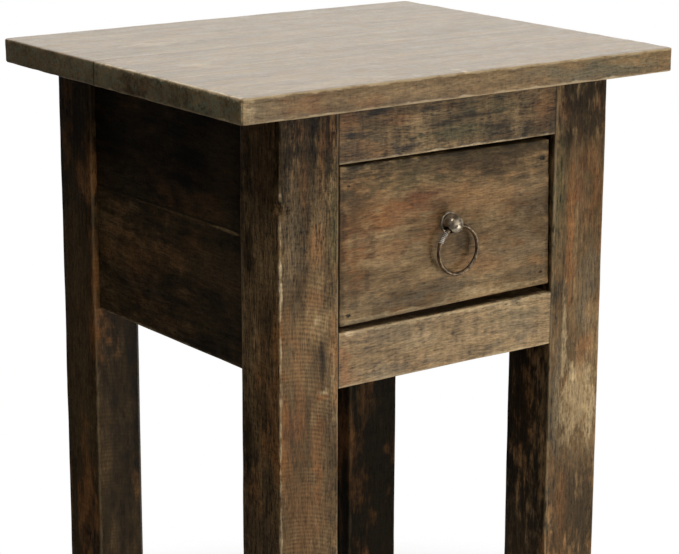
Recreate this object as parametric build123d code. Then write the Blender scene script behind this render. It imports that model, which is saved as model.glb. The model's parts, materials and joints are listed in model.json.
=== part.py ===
from build123d import *

import os
from math import cos, degrees, radians, sin

# A rustic side table with one drawer, in millimetres. The table stands on z = 0 with its top's centre
# over the origin. +X is the right side, +Y the rear and +Z up, so the drawer opens towards -Y.

# ---- Driving dimensions -------------------------------------------------------------------------

HEIGHT = 711.0
TOP_WIDTH = 406.0
TOP_DEPTH = 343.0
TOP_THICKNESS = 19.0
TOP_CORNER_RADIUS = 4.0
TOP_FRONT_BOARD_DEPTH = 200.0

OVERHANG_LEFT = 46.0
OVERHANG_RIGHT = 48.5
OVERHANG_FRONT = 22.0
OVERHANG_REAR = 4.0

LEG_WIDTH = 52.5
LEG_DEPTH = 51.0
LEG_ARRIS = 2.0
SLIM_LEG_WIDTH = 44.5
SLIM_LEG_WANE = 5.5

RAIL_HEIGHT = 42.5
RAIL_THICKNESS = 22.0
RAIL_RECESS = 0.6
DRAWER_OPENING_HEIGHT = 125.5

APRON_THICKNESS = 19.0
APRON_RECESS = 5.0
APRON_UPPER_HEIGHT = 96.5
APRON_LOWER_HEIGHT = 104.5
APRON_EASE = 1.5

TENON_LENGTH = 24.0
RAIL_TENON_THICKNESS = 10.0
RAIL_TENON_SETBACK = 7.0
APRON_TENON_THICKNESS = 8.0
APRON_TENON_SETBACK = 10.5
TENON_SHOULDER = 9.0
MORTISE_CLEARANCE = 0.1
MORTISE_EXTRA_DEPTH = 1.5

RUNNER_WIDTH = 22.0
RUNNER_HEIGHT = 20.0
GUIDE_HEIGHT = 60.0
STOP_HEIGHT = 12.0

DRAWER_FRONT_THICKNESS = 18.0
DRAWER_RECESS = 1.8
DRAWER_SIDE_GAP = 1.9
DRAWER_TOP_GAP = 2.8
DRAWER_BOTTOM_GAP = 5.6
DRAWER_SIDE_THICKNESS = 14.0
DRAWER_SIDE_INSET = 0.8
DRAWER_SIDE_LENGTH = 255.0
DRAWER_SIDE_DROP = 3.0
DRAWER_BACK_THICKNESS = 12.0
DRAWER_BACK_DROP = 9.0
PANEL_THICKNESS = 5.0
PANEL_LIFT = 7.5
GROOVE_DEPTH = 4.5
GROOVE_CLEARANCE = 0.1

DOWEL_DIAMETER = 8.0
DOWEL_LENGTH = 40.0
DOWEL_SPACING = 140.0
DOWEL_END_GAP = 1.0
SCREW_DIAMETER = 4.0
SCREW_HEAD_DIAMETER = 8.0
SCREW_LENGTH = 40.0
SCREW_SLOT_WIDTH = 1.0
SCREW_SLOT_DEPTH = 0.8
SCREW_HEAD_DEPTH = 5.0
COUNTERBORE_DIAMETER = 9.0
COUNTERBORE_REACH = 50.0
FIT_CLEARANCE = 0.05
TOP_SCREW_BITE = 12.5
TOP_SCREW_SPREAD = 95.0
GUIDE_SCREW_LENGTH = 27.0
GUIDE_SCREW_DEPTH = 12.0
GUIDE_SCREW_RISE = 22.0
GUIDE_SCREW_SPREAD = 60.0

PULL_RISE = 5.5
BALL_DIAMETER = 15.4
BALL_STANDOFF = 5.3
KNOB_TURN_DEG = 12.0
BORE_DIAMETER = 6.2
BORE_STANDOFF = 6.1
BORE_DROP = 2.9
STUD_DIAMETER = 4.0
COLLAR_DIAMETER = 17.0
COLLAR_STEP_DIAMETER = 12.5
COLLAR_FLANGE = 1.6
COLLAR_STEP = 1.2
RING_DIAMETER = 40.0
RING_WIRE = 2.8
RING_RISE = 0.4
WHIPPING_WIRE = 0.5
WHIPPING_LENGTH = 8.8
WHIPPING_START_DEG = 29.0
NUT_WIDTH = 7.0
NUT_HEIGHT = 3.2
WASHER_DIAMETER = 9.0
WASHER_THICKNESS = 0.8
STUD_PROUD = 1.5

# The four nails in the drawer front as they were driven: side, inset from that edge, height from
# the drawer's lower edge.
FRONT_NAILS = [(-1, 8.0, 6.3), (-1, 7.6, 103.3), (1, 9.2, 12.0), (1, 9.6, 102.4)]
FRONT_NAIL_DIAMETER = 2.4
FRONT_NAIL_LENGTH = 50.0
FRONT_NAIL_SINK = 0.5
PIN_NAIL_DIAMETER = 2.0
PIN_NAIL_LENGTH = 30.0
PIN_NAIL_SINK = 1.0
BACK_NAIL_HEIGHTS = (35.0, 85.0)
BOTTOM_NAIL_SPREAD = 60.0

# ---- Places worked out from them ----------------------------------------------------------------

LEG_TOP = HEIGHT - TOP_THICKNESS
FRONT_EDGE = -TOP_DEPTH / 2
SEAM_Y = FRONT_EDGE + TOP_FRONT_BOARD_DEPTH
LEFT_FACE = -TOP_WIDTH / 2 + OVERHANG_LEFT
RIGHT_FACE = TOP_WIDTH / 2 - OVERHANG_RIGHT
FRONT_FACE = FRONT_EDGE + OVERHANG_FRONT
REAR_FACE = TOP_DEPTH / 2 - OVERHANG_REAR

OPENING_LEFT = LEFT_FACE + LEG_WIDTH
OPENING_RIGHT = RIGHT_FACE - LEG_WIDTH
OPENING_TOP = LEG_TOP - RAIL_HEIGHT
OPENING_BOTTOM = OPENING_TOP - DRAWER_OPENING_HEIGHT
RAIL_BACK = FRONT_FACE + RAIL_RECESS + RAIL_THICKNESS
APRON_FRONT_END = FRONT_FACE + LEG_DEPTH
APRON_REAR_END = REAR_FACE - LEG_DEPTH
REAR_APRON_INNER = REAR_FACE - APRON_RECESS - APRON_THICKNESS
REAR_APRON_LEFT = LEFT_FACE + SLIM_LEG_WIDTH
REAR_APRON_RIGHT = RIGHT_FACE - LEG_WIDTH
APRON_SEAM = LEG_TOP - APRON_UPPER_HEIGHT
APRON_BOTTOM = APRON_SEAM - APRON_LOWER_HEIGHT
RAIL_LEVELS = {"top": (OPENING_TOP, LEG_TOP), "bottom": (OPENING_BOTTOM - RAIL_HEIGHT, OPENING_BOTTOM)}
APRON_LEVELS = {"upper": (APRON_SEAM, LEG_TOP), "lower": (APRON_BOTTOM, APRON_SEAM)}

DRAWER_LEFT = OPENING_LEFT + DRAWER_SIDE_GAP
DRAWER_RIGHT = OPENING_RIGHT - DRAWER_SIDE_GAP
DRAWER_BOTTOM = OPENING_BOTTOM + DRAWER_BOTTOM_GAP
DRAWER_TOP = OPENING_TOP - DRAWER_TOP_GAP
DRAWER_FACE = FRONT_FACE + DRAWER_RECESS
DRAWER_FRONT_BACK = DRAWER_FACE + DRAWER_FRONT_THICKNESS
DRAWER_REAR = DRAWER_FRONT_BACK + DRAWER_SIDE_LENGTH
DRAWER_CENTRE = (DRAWER_LEFT + DRAWER_RIGHT) / 2
DRAWER_INNER_LEFT = DRAWER_LEFT + DRAWER_SIDE_INSET + DRAWER_SIDE_THICKNESS
DRAWER_INNER_RIGHT = DRAWER_RIGHT - DRAWER_SIDE_INSET - DRAWER_SIDE_THICKNESS
PANEL_BOTTOM = DRAWER_BOTTOM + PANEL_LIFT
PANEL_TOP = PANEL_BOTTOM + PANEL_THICKNESS

RUNNER_SCREW_Z = DRAWER_BOTTOM - RUNNER_HEIGHT / 2
KICKER_SCREW_Z = (OPENING_TOP + LEG_TOP) / 2
GUIDE_SCREW_Z = DRAWER_BOTTOM + GUIDE_SCREW_RISE
TOP_SCREW_HEAD_Z = LEG_TOP + TOP_SCREW_BITE - SCREW_LENGTH
FRONT_LEG_SCREW_Y = (RAIL_BACK + APRON_FRONT_END) / 2
REAR_LEG_SCREW_Y = (APRON_REAR_END + REAR_APRON_INNER) / 2
MIDDLE_Y = (APRON_FRONT_END + APRON_REAR_END) / 2

PULL_HEIGHT = (DRAWER_TOP + DRAWER_BOTTOM) / 2 + PULL_RISE
BALL_CENTRE_Y = DRAWER_FACE - BALL_STANDOFF
RING_RADIUS = (RING_DIAMETER - RING_WIRE) / 2


def block(x0, x1, y0, y1, z0, z1):
    """A box between two corners, whichever way round they are given."""
    size = (abs(x1 - x0), abs(y1 - y0), abs(z1 - z0))
    return Pos((x0 + x1) / 2, (y0 + y1) / 2, (z0 + z1) / 2) * Box(*size)


def rod(start, direction, length, diameter):
    """A round bar from a point, along a direction."""
    plane = Plane(origin=start, z_dir=direction)
    return plane * Cylinder(diameter / 2, length, align=(Align.CENTER, Align.CENTER, Align.MIN))


def cone(start, direction, length, wide, narrow):
    """A taper from its wide end at a point, along a direction."""
    plane = Plane(origin=start, z_dir=direction)
    return plane * Cone(wide / 2, narrow / 2, length, align=(Align.CENTER, Align.CENTER, Align.MIN))


# ---- Fasteners ----------------------------------------------------------------------------------

def screw(start, direction, length=SCREW_LENGTH):
    """A countersunk slotted screw, its flat head at a point and its tip along a direction."""
    head = (SCREW_HEAD_DIAMETER - SCREW_DIAMETER) / 2
    way = Vector(*direction)
    origin = Vector(*start)
    point = length - SCREW_DIAMETER
    body = cone(origin, way, head, SCREW_HEAD_DIAMETER, SCREW_DIAMETER)
    body += rod(origin + way * head, way, point - head, SCREW_DIAMETER)
    body += cone(origin + way * point, way, SCREW_DIAMETER, SCREW_DIAMETER, SCREW_DIAMETER / 4)
    slot = Plane(origin=origin, z_dir=way) * Box(
        SCREW_SLOT_WIDTH, SCREW_HEAD_DIAMETER, 2 * SCREW_SLOT_DEPTH
    )
    return body - slot


def screw_hole(start, direction, length=SCREW_LENGTH):
    """The hole a screw sits in, with a counterbore out to the board's face in front of it."""
    way = Vector(*direction)
    origin = Vector(*start)
    head = (SCREW_HEAD_DIAMETER - SCREW_DIAMETER) / 2
    hole = rod(origin, way, length + FIT_CLEARANCE, SCREW_DIAMETER + 2 * FIT_CLEARANCE)
    mouth = SCREW_HEAD_DIAMETER + 4 * FIT_CLEARANCE
    hole += cone(origin, way, head + 2 * FIT_CLEARANCE, mouth, SCREW_DIAMETER)
    hole += rod(origin, -way, COUNTERBORE_REACH, COUNTERBORE_DIAMETER)
    return hole


def nail(start, direction, diameter, length):
    """A cut nail with no head, as it looks when it has been punched below the wood."""
    way = Vector(*direction)
    origin = Vector(*start)
    point = length - 2 * diameter
    return rod(origin, way, point, diameter) + cone(
        origin + way * point, way, 2 * diameter, diameter, diameter / 4
    )


def nail_hole(start, direction, diameter, length, sink=PIN_NAIL_SINK):
    """The hole around a nail, open in front of it by the depth it was punched to."""
    way = Vector(*direction)
    origin = Vector(*start) - way * sink
    return rod(origin, way, length + sink + FIT_CLEARANCE, diameter + 2 * FIT_CLEARANCE)


def side_place(side):
    """Inner face of the legs on one side (-1 left, 1 right) and the way to the table's middle."""
    return (OPENING_LEFT, 1) if side < 0 else (OPENING_RIGHT, -1)


def runner_screw_places(side):
    face, inward = side_place(side)
    x = face + inward * (RUNNER_WIDTH - SCREW_HEAD_DEPTH)
    along = (FRONT_LEG_SCREW_Y, MIDDLE_Y, REAR_LEG_SCREW_Y)
    return [((x, y, RUNNER_SCREW_Z), (-inward, 0, 0)) for y in along]


def kicker_screw_places(side):
    face, inward = side_place(side)
    x = face + inward * (RUNNER_WIDTH - SCREW_HEAD_DEPTH)
    along = (FRONT_LEG_SCREW_Y, REAR_LEG_SCREW_Y)
    return [((x, y, KICKER_SCREW_Z), (-inward, 0, 0)) for y in along]


def guide_screw_places(side):
    face, inward = side_place(side)
    x = face - inward * GUIDE_SCREW_DEPTH
    along = (MIDDLE_Y - GUIDE_SCREW_SPREAD, MIDDLE_Y + GUIDE_SCREW_SPREAD)
    return [((x, y, GUIDE_SCREW_Z), (-inward, 0, 0)) for y in along]


def top_screw_places(side):
    face, inward = side_place(side)
    x = face + inward * RUNNER_WIDTH / 2
    along = (MIDDLE_Y - TOP_SCREW_SPREAD, MIDDLE_Y, MIDDLE_Y + TOP_SCREW_SPREAD)
    return [((x, y, TOP_SCREW_HEAD_Z), (0, 0, 1)) for y in along]


def front_nail_places():
    places = []
    for side, inset, height in FRONT_NAILS:
        x = DRAWER_LEFT + inset if side < 0 else DRAWER_RIGHT - inset
        places.append(((x, DRAWER_FACE + FRONT_NAIL_SINK, DRAWER_BOTTOM + height), (0, 1, 0)))
    return places


def back_nail_places():
    y = DRAWER_REAR - DRAWER_BACK_THICKNESS / 2
    left = DRAWER_LEFT + DRAWER_SIDE_INSET
    right = DRAWER_RIGHT - DRAWER_SIDE_INSET
    ends = ((left, 1), (right, -1))
    return [((x, y, DRAWER_BOTTOM + rise), (way, 0, 0)) for x, way in ends for rise in BACK_NAIL_HEIGHTS]


def bottom_nail_places():
    y = DRAWER_REAR - DRAWER_BACK_THICKNESS / 2
    across = (DRAWER_CENTRE - BOTTOM_NAIL_SPREAD, DRAWER_CENTRE, DRAWER_CENTRE + BOTTOM_NAIL_SPREAD)
    return [((x, y, PANEL_BOTTOM), (0, 0, 1)) for x in across]


# ---- Top ----------------------------------------------------------------------------------------

def top_dowel_places():
    z = LEG_TOP + TOP_THICKNESS / 2
    return [(x, SEAM_Y - DOWEL_LENGTH / 2, z) for x in (-DOWEL_SPACING, 0, DOWEL_SPACING)]


def top_board(front):
    """One board of the top, its outer corners rounded in plan, bored for the dowels and screws."""
    ends = (FRONT_EDGE, SEAM_Y) if front else (SEAM_Y, -FRONT_EDGE)
    board = block(-TOP_WIDTH / 2, TOP_WIDTH / 2, *ends, LEG_TOP, HEIGHT)
    outer = board.edges().filter_by(Axis.Z).sort_by(Axis.Y)
    board = fillet(outer[:2] if front else outer[-2:], TOP_CORNER_RADIUS)
    for x, y, z in top_dowel_places():
        board -= rod((x, y - DOWEL_END_GAP, z), (0, 1, 0), DOWEL_LENGTH + 2 * DOWEL_END_GAP,
                     DOWEL_DIAMETER + 2 * FIT_CLEARANCE)
    for side in (-1, 1):
        for start, way in top_screw_places(side):
            board -= rod(start, way, SCREW_LENGTH + FIT_CLEARANCE, SCREW_DIAMETER + 2 * FIT_CLEARANCE)
    return board


def top_edge_dowels():
    return Compound([rod(start, (0, 1, 0), DOWEL_LENGTH, DOWEL_DIAMETER) for start in top_dowel_places()])


# ---- Rails and aprons: each is a body and its two tenons, so that the legs can be cut to match ---

def rail_tenons(z0, z1):
    y0 = FRONT_FACE + RAIL_TENON_SETBACK
    y1 = y0 + RAIL_TENON_THICKNESS
    return [
        (OPENING_LEFT - TENON_LENGTH, OPENING_LEFT, y0, y1, z0 + TENON_SHOULDER, z1 - TENON_SHOULDER),
        (OPENING_RIGHT, OPENING_RIGHT + TENON_LENGTH, y0, y1, z0 + TENON_SHOULDER, z1 - TENON_SHOULDER),
    ]


def side_apron_tenons(side, z0, z1):
    outer = LEFT_FACE if side < 0 else RIGHT_FACE
    x0 = outer - side * APRON_TENON_SETBACK
    x1 = x0 - side * APRON_TENON_THICKNESS
    low, high = z0 + TENON_SHOULDER, z1 - TENON_SHOULDER
    return [
        (x0, x1, APRON_FRONT_END - TENON_LENGTH, APRON_FRONT_END, low, high),
        (x0, x1, APRON_REAR_END, APRON_REAR_END + TENON_LENGTH, low, high),
    ]


def rear_apron_tenons(z0, z1):
    y1 = REAR_FACE - APRON_TENON_SETBACK
    y0 = y1 - APRON_TENON_THICKNESS
    low, high = z0 + TENON_SHOULDER, z1 - TENON_SHOULDER
    return [
        (REAR_APRON_LEFT - TENON_LENGTH, REAR_APRON_LEFT, y0, y1, low, high),
        (REAR_APRON_RIGHT, REAR_APRON_RIGHT + TENON_LENGTH, y0, y1, low, high),
    ]


def front_rail(level):
    z0, z1 = RAIL_LEVELS[level]
    rail = block(OPENING_LEFT, OPENING_RIGHT, FRONT_FACE + RAIL_RECESS, RAIL_BACK, z0, z1)
    for tenon in rail_tenons(z0, z1):
        rail += block(*tenon)
    return rail


def side_apron(side, level):
    z0, z1 = APRON_LEVELS[level]
    outer = (LEFT_FACE if side < 0 else RIGHT_FACE) - side * APRON_RECESS
    apron = block(outer, outer - side * APRON_THICKNESS, APRON_FRONT_END, APRON_REAR_END, z0, z1)
    apron = ease_lower_outer_edge(apron, Axis.Y, Axis.X, side)
    for tenon in side_apron_tenons(side, z0, z1):
        apron += block(*tenon)
    if level == "lower":
        for start, way in guide_screw_places(side):
            apron -= screw_hole(start, way, GUIDE_SCREW_LENGTH)
    return apron


def rear_apron(level):
    z0, z1 = APRON_LEVELS[level]
    outer = REAR_FACE - APRON_RECESS
    apron = block(REAR_APRON_LEFT, REAR_APRON_RIGHT, REAR_APRON_INNER, outer, z0, z1)
    apron = ease_lower_outer_edge(apron, Axis.X, Axis.Y, 1)
    for tenon in rear_apron_tenons(z0, z1):
        apron += block(*tenon)
    return apron


def ease_lower_outer_edge(board, along, across, side):
    """Takes the arris off the lower outer edge, which makes a shadow line at the boards' seam."""
    low = board.edges().filter_by(along).group_by(Axis.Z)[0].sort_by(across)
    return chamfer(low[-1] if side > 0 else low[0], APRON_EASE)


# ---- Legs ---------------------------------------------------------------------------------------

def mortise(tenon, axis):
    """The pocket for a tenon: a little wider all round and a little deeper at its blind end."""
    x0, x1, y0, y1, z0, z1 = tenon
    x0, x1 = sorted((x0, x1))
    dx, dy = MORTISE_EXTRA_DEPTH, MORTISE_CLEARANCE
    if axis == Axis.Y:
        dx, dy = dy, dx
    return block(x0 - dx, x1 + dx, y0 - dy, y1 + dy, z0 - MORTISE_CLEARANCE, z1 + MORTISE_CLEARANCE)


def all_mortises():
    cuts = []
    for z0, z1 in RAIL_LEVELS.values():
        cuts += [mortise(tenon, Axis.X) for tenon in rail_tenons(z0, z1)]
    for z0, z1 in APRON_LEVELS.values():
        cuts += [mortise(tenon, Axis.X) for tenon in rear_apron_tenons(z0, z1)]
        for side in (-1, 1):
            cuts += [mortise(tenon, Axis.Y) for tenon in side_apron_tenons(side, z0, z1)]
    return cuts


def leg(side, rear):
    """A square leg from the floor to the underside of the top, with its mortises and screw holes."""
    width = SLIM_LEG_WIDTH if rear and side < 0 else LEG_WIDTH
    x0, x1 = (LEFT_FACE, LEFT_FACE + width) if side < 0 else (RIGHT_FACE - width, RIGHT_FACE)
    y0, y1 = (APRON_REAR_END, REAR_FACE) if rear else (FRONT_FACE, APRON_FRONT_END)
    shape = block(x0, x1, y0, y1, 0, LEG_TOP)
    corners = shape.edges().filter_by(Axis.Z)
    if rear and side < 0:
        inner = corners.sort_by_distance((x1, y0, LEG_TOP / 2))[0]
        shape = chamfer(inner, SLIM_LEG_WANE)
        edges = shape.edges().filter_by(Axis.Z)
        corners = edges.sort_by_distance((x0, y0, LEG_TOP / 2))[:1] + edges.sort_by(Axis.Y)[-2:]
    shape = fillet(corners, LEG_ARRIS)
    for pocket in all_mortises():
        shape -= pocket
    for start, way in runner_screw_places(side) + kicker_screw_places(side):
        shape -= rod(start, way, SCREW_LENGTH + FIT_CLEARANCE, SCREW_DIAMETER + 2 * FIT_CLEARANCE)
    return shape


# ---- Runners, guides, kickers and stops ----------------------------------------------------------

def rear_packing(side, z0, z1):
    """On the left, the rear end is packed out to reach the slimmer leg."""
    if side > 0:
        return None
    return block(REAR_APRON_LEFT, OPENING_LEFT, APRON_REAR_END, REAR_APRON_INNER, z0, z1)


def rail_strip(side, z0, z1):
    face, inward = side_place(side)
    strip = block(face, face + inward * RUNNER_WIDTH, RAIL_BACK, REAR_APRON_INNER, z0, z1)
    packing = rear_packing(side, z0, z1)
    return strip if packing is None else strip + packing


def runner(side):
    strip = rail_strip(side, DRAWER_BOTTOM - RUNNER_HEIGHT, DRAWER_BOTTOM)
    for start, way in runner_screw_places(side):
        strip -= screw_hole(start, way)
    return strip


def kicker(side):
    strip = rail_strip(side, OPENING_TOP, LEG_TOP)
    for start, way in kicker_screw_places(side):
        strip -= screw_hole(start, way)
    for start, way in top_screw_places(side):
        strip -= screw_hole(start, way)
    return strip


def guide(side):
    face, inward = side_place(side)
    outer = (LEFT_FACE if side < 0 else RIGHT_FACE) - side * (APRON_RECESS + APRON_THICKNESS)
    z0 = DRAWER_BOTTOM - RUNNER_HEIGHT
    strip = block(outer, face, APRON_FRONT_END, APRON_REAR_END, z0, z0 + GUIDE_HEIGHT)
    for start, way in guide_screw_places(side):
        strip -= screw_hole(start, way, GUIDE_SCREW_LENGTH)
    start, way = runner_screw_places(side)[1]
    return strip - rod(start, way, SCREW_LENGTH + FIT_CLEARANCE, SCREW_DIAMETER + 2 * FIT_CLEARANCE)


def drawer_stops():
    """A block glued on the rear end of each runner, which the drawer's sides come up against."""
    blocks = []
    for side in (-1, 1):
        face, inward = side_place(side)
        blocks.append(block(face, face + inward * RUNNER_WIDTH, DRAWER_REAR, REAR_APRON_INNER,
                            DRAWER_BOTTOM, DRAWER_BOTTOM + STOP_HEIGHT))
    return Compound(blocks)


def fasteners(places_of, length=SCREW_LENGTH):
    return Compound([screw(start, way, length) for side in (-1, 1) for start, way in places_of(side)])


# ---- Drawer -------------------------------------------------------------------------------------

def panel_groove():
    """The groove in the front and sides that holds the bottom panel."""
    inner = DRAWER_SIDE_INSET + DRAWER_SIDE_THICKNESS - GROOVE_DEPTH
    return block(DRAWER_LEFT + inner, DRAWER_RIGHT - inner, DRAWER_FRONT_BACK - GROOVE_DEPTH, DRAWER_REAR + 1,
                 PANEL_BOTTOM - GROOVE_CLEARANCE, PANEL_TOP + GROOVE_CLEARANCE)


def cut_nails(board, places, diameter, length, sink):
    for start, way in places:
        board -= nail_hole(start, way, diameter, length, sink)
    return board


def drawer_front():
    board = block(DRAWER_LEFT, DRAWER_RIGHT, DRAWER_FACE, DRAWER_FRONT_BACK, DRAWER_BOTTOM, DRAWER_TOP)
    board -= panel_groove()
    board -= stud_hole(DRAWER_FACE, DRAWER_FRONT_THICKNESS)
    return cut_nails(board, front_nail_places(), FRONT_NAIL_DIAMETER, FRONT_NAIL_LENGTH, FRONT_NAIL_SINK)


def drawer_side(side):
    outer = DRAWER_LEFT + DRAWER_SIDE_INSET if side < 0 else DRAWER_RIGHT - DRAWER_SIDE_INSET
    board = block(outer, outer - side * DRAWER_SIDE_THICKNESS, DRAWER_FRONT_BACK, DRAWER_REAR,
                  DRAWER_BOTTOM, DRAWER_TOP - DRAWER_SIDE_DROP)
    board -= panel_groove()
    board = cut_nails(board, front_nail_places(), FRONT_NAIL_DIAMETER, FRONT_NAIL_LENGTH, FRONT_NAIL_SINK)
    return cut_nails(board, back_nail_places(), PIN_NAIL_DIAMETER, PIN_NAIL_LENGTH, PIN_NAIL_SINK)


def drawer_back():
    board = block(DRAWER_INNER_LEFT, DRAWER_INNER_RIGHT, DRAWER_REAR - DRAWER_BACK_THICKNESS, DRAWER_REAR,
                  PANEL_TOP, DRAWER_TOP - DRAWER_BACK_DROP)
    board = cut_nails(board, back_nail_places(), PIN_NAIL_DIAMETER, PIN_NAIL_LENGTH, 0)
    return cut_nails(board, bottom_nail_places(), PIN_NAIL_DIAMETER, PIN_NAIL_LENGTH, 0)


def drawer_bottom():
    """A thin panel that slides into its grooves from behind, under the back."""
    reach = GROOVE_DEPTH - 2 * GROOVE_CLEARANCE
    panel = block(DRAWER_INNER_LEFT - reach, DRAWER_INNER_RIGHT + reach,
                  DRAWER_FRONT_BACK - reach, DRAWER_REAR, PANEL_BOTTOM, PANEL_TOP)
    return cut_nails(panel, bottom_nail_places(), PIN_NAIL_DIAMETER, PIN_NAIL_LENGTH, 0)


def nails(places, diameter, length):
    return Compound([nail(start, way, diameter, length) for start, way in places])


# ---- Pull ---------------------------------------------------------------------------------------

def at_pull(y):
    return (DRAWER_CENTRE, y, PULL_HEIGHT)


def stud_hole(y, length):
    return rod(at_pull(y), (0, 1, 0), length, STUD_DIAMETER + 2 * FIT_CLEARANCE)


def from_bore(right, down):
    """A point in the ring's hanging plane: so far along the knob's bore and so far below it."""
    turn = radians(KNOB_TURN_DEG)
    fall = BORE_DROP + down
    x = DRAWER_CENTRE + right * cos(turn) + fall * sin(turn)
    z = PULL_HEIGHT + right * sin(turn) - fall * cos(turn)
    return (x, DRAWER_FACE - BORE_STANDOFF, z)


def pull_knob():
    """A ball cut flat where it sits on its collar, on a stud, and bored across low down for the
    ring. The knob is not quite level, so the bore's left end is the lower one."""
    radius = BALL_DIAMETER / 2
    upright = Plane(origin=at_pull(BALL_CENTRE_Y), x_dir=(0, 0, 1), z_dir=(0, 1, 0))
    knob = upright * Sphere(radius)
    seat = DRAWER_FACE - COLLAR_FLANGE - COLLAR_STEP
    knob -= rod(at_pull(seat), (0, 1, 0), BALL_DIAMETER, 2 * BALL_DIAMETER)
    stud_end = DRAWER_FRONT_BACK + WASHER_THICKNESS + NUT_HEIGHT + STUD_PROUD
    knob += rod(at_pull(seat), (0, 1, 0), stud_end - seat, STUD_DIAMETER)
    turn = radians(KNOB_TURN_DEG)
    knob -= rod(from_bore(-radius, 0), (cos(turn), 0, sin(turn)), BALL_DIAMETER, BORE_DIAMETER)
    return knob


def pull_collar():
    """A stepped rosette between the ball and the drawer front."""
    flange = rod(at_pull(DRAWER_FACE - COLLAR_FLANGE), (0, 1, 0), COLLAR_FLANGE, COLLAR_DIAMETER)
    flange = fillet(flange.edges().group_by(Axis.Y)[0], COLLAR_FLANGE / 2)
    step_front = at_pull(DRAWER_FACE - COLLAR_FLANGE - COLLAR_STEP)
    step = rod(step_front, (0, 1, 0), COLLAR_STEP, COLLAR_STEP_DIAMETER)
    step = fillet(step.edges().group_by(Axis.Y)[0], COLLAR_STEP / 2)
    return flange + step - stud_hole(DRAWER_FACE - BALL_STANDOFF, BALL_STANDOFF)


def ring_centre():
    """The hanging ring's centre. Its wire crosses the bore a little above the bore's middle, which
    leaves the bent wire room at both mouths."""
    return from_bore(0, RING_RADIUS - RING_RISE)


def pull_ring():
    return Plane(origin=ring_centre(), z_dir=(0, 1, 0)) * Torus(RING_RADIUS, RING_WIRE / 2)


def pull_ring_whipping():
    """A sleeve of fine wire round the ring, to the left of the ball."""
    centre = ring_centre()
    arc = degrees(WHIPPING_LENGTH / RING_RADIUS)
    angle = radians(-WHIPPING_START_DEG - arc - KNOB_TURN_DEG)
    x = centre[0] + RING_RADIUS * sin(angle)
    z = centre[2] + RING_RADIUS * cos(angle)
    plane = Plane(origin=(x, centre[1], z), z_dir=(cos(angle), 0, -sin(angle)))
    sleeve = Circle(RING_WIRE / 2 + WHIPPING_WIRE) - Circle(RING_WIRE / 2 + FIT_CLEARANCE)
    return revolve(plane * sleeve, Axis(centre, (0, 1, 0)), arc)


def pull_washer():
    washer = rod(at_pull(DRAWER_FRONT_BACK), (0, 1, 0), WASHER_THICKNESS, WASHER_DIAMETER)
    return washer - stud_hole(DRAWER_FRONT_BACK, WASHER_THICKNESS)


def pull_nut():
    y = DRAWER_FRONT_BACK + WASHER_THICKNESS
    plane = Plane(origin=at_pull(y), z_dir=(0, 1, 0))
    hexagon = plane * RegularPolygon(NUT_WIDTH / 2, 6, major_radius=False)
    return extrude(hexagon, NUT_HEIGHT) - stud_hole(y, NUT_HEIGHT)


# ---- Every sub-part -----------------------------------------------------------------------------

PARTS = {
    "top_board_front": top_board(front=True),
    "top_board_rear": top_board(front=False),
    "top_edge_dowels": top_edge_dowels(),
    "leg_front_left": leg(-1, rear=False),
    "leg_front_right": leg(1, rear=False),
    "leg_rear_left": leg(-1, rear=True),
    "leg_rear_right": leg(1, rear=True),
    "rail_front_top": front_rail("top"),
    "rail_front_bottom": front_rail("bottom"),
    "drawer_stops": drawer_stops(),
    "top_screws": fasteners(top_screw_places),
    "kicker_screws": fasteners(kicker_screw_places),
    "runner_screws": fasteners(runner_screw_places),
    "guide_screws": fasteners(guide_screw_places, GUIDE_SCREW_LENGTH),
    "drawer_front": drawer_front(),
    "drawer_back": drawer_back(),
    "drawer_bottom": drawer_bottom(),
    "drawer_front_nails": nails(front_nail_places(), FRONT_NAIL_DIAMETER, FRONT_NAIL_LENGTH),
    "drawer_back_nails": nails(back_nail_places(), PIN_NAIL_DIAMETER, PIN_NAIL_LENGTH),
    "drawer_bottom_nails": nails(bottom_nail_places(), PIN_NAIL_DIAMETER, PIN_NAIL_LENGTH),
    "pull_knob": pull_knob(),
    "pull_collar": pull_collar(),
    "pull_ring": pull_ring(),
    "pull_ring_whipping": pull_ring_whipping(),
    "pull_washer": pull_washer(),
    "pull_nut": pull_nut(),
}
for board in ("upper", "lower"):
    PARTS["apron_rear_" + board] = rear_apron(board)
for hand, name in ((-1, "left"), (1, "right")):
    for board in ("upper", "lower"):
        PARTS["apron_" + name + "_" + board] = side_apron(hand, board)
    PARTS["runner_" + name] = runner(hand)
    PARTS["guide_" + name] = guide(hand)
    PARTS["kicker_" + name] = kicker(hand)
    PARTS["drawer_side_" + name] = drawer_side(hand)

os.makedirs("parts", exist_ok=True)
for node, shape in PARTS.items():
    export_step(shape, "parts/" + node + ".step")
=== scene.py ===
# %% [markdown]
# # A rustic side table with one drawer
#
# The table is a small piece of solid-wood furniture: four square legs, rails and board aprons
# between them, an overhanging top glued up from two boards, and a drawer with an iron ring pull.
# All of its sizes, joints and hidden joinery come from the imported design, which is loaded first
# and never moved. This lesson gives it its looks. Each board that shows is modelled again with
# worn corners and tool marks, and every surface gets a finish made of nodes.

# %% Load the design
import json
import math
import bmesh
import bpy
import numpy as np
from mathutils import Matrix, Vector


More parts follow.
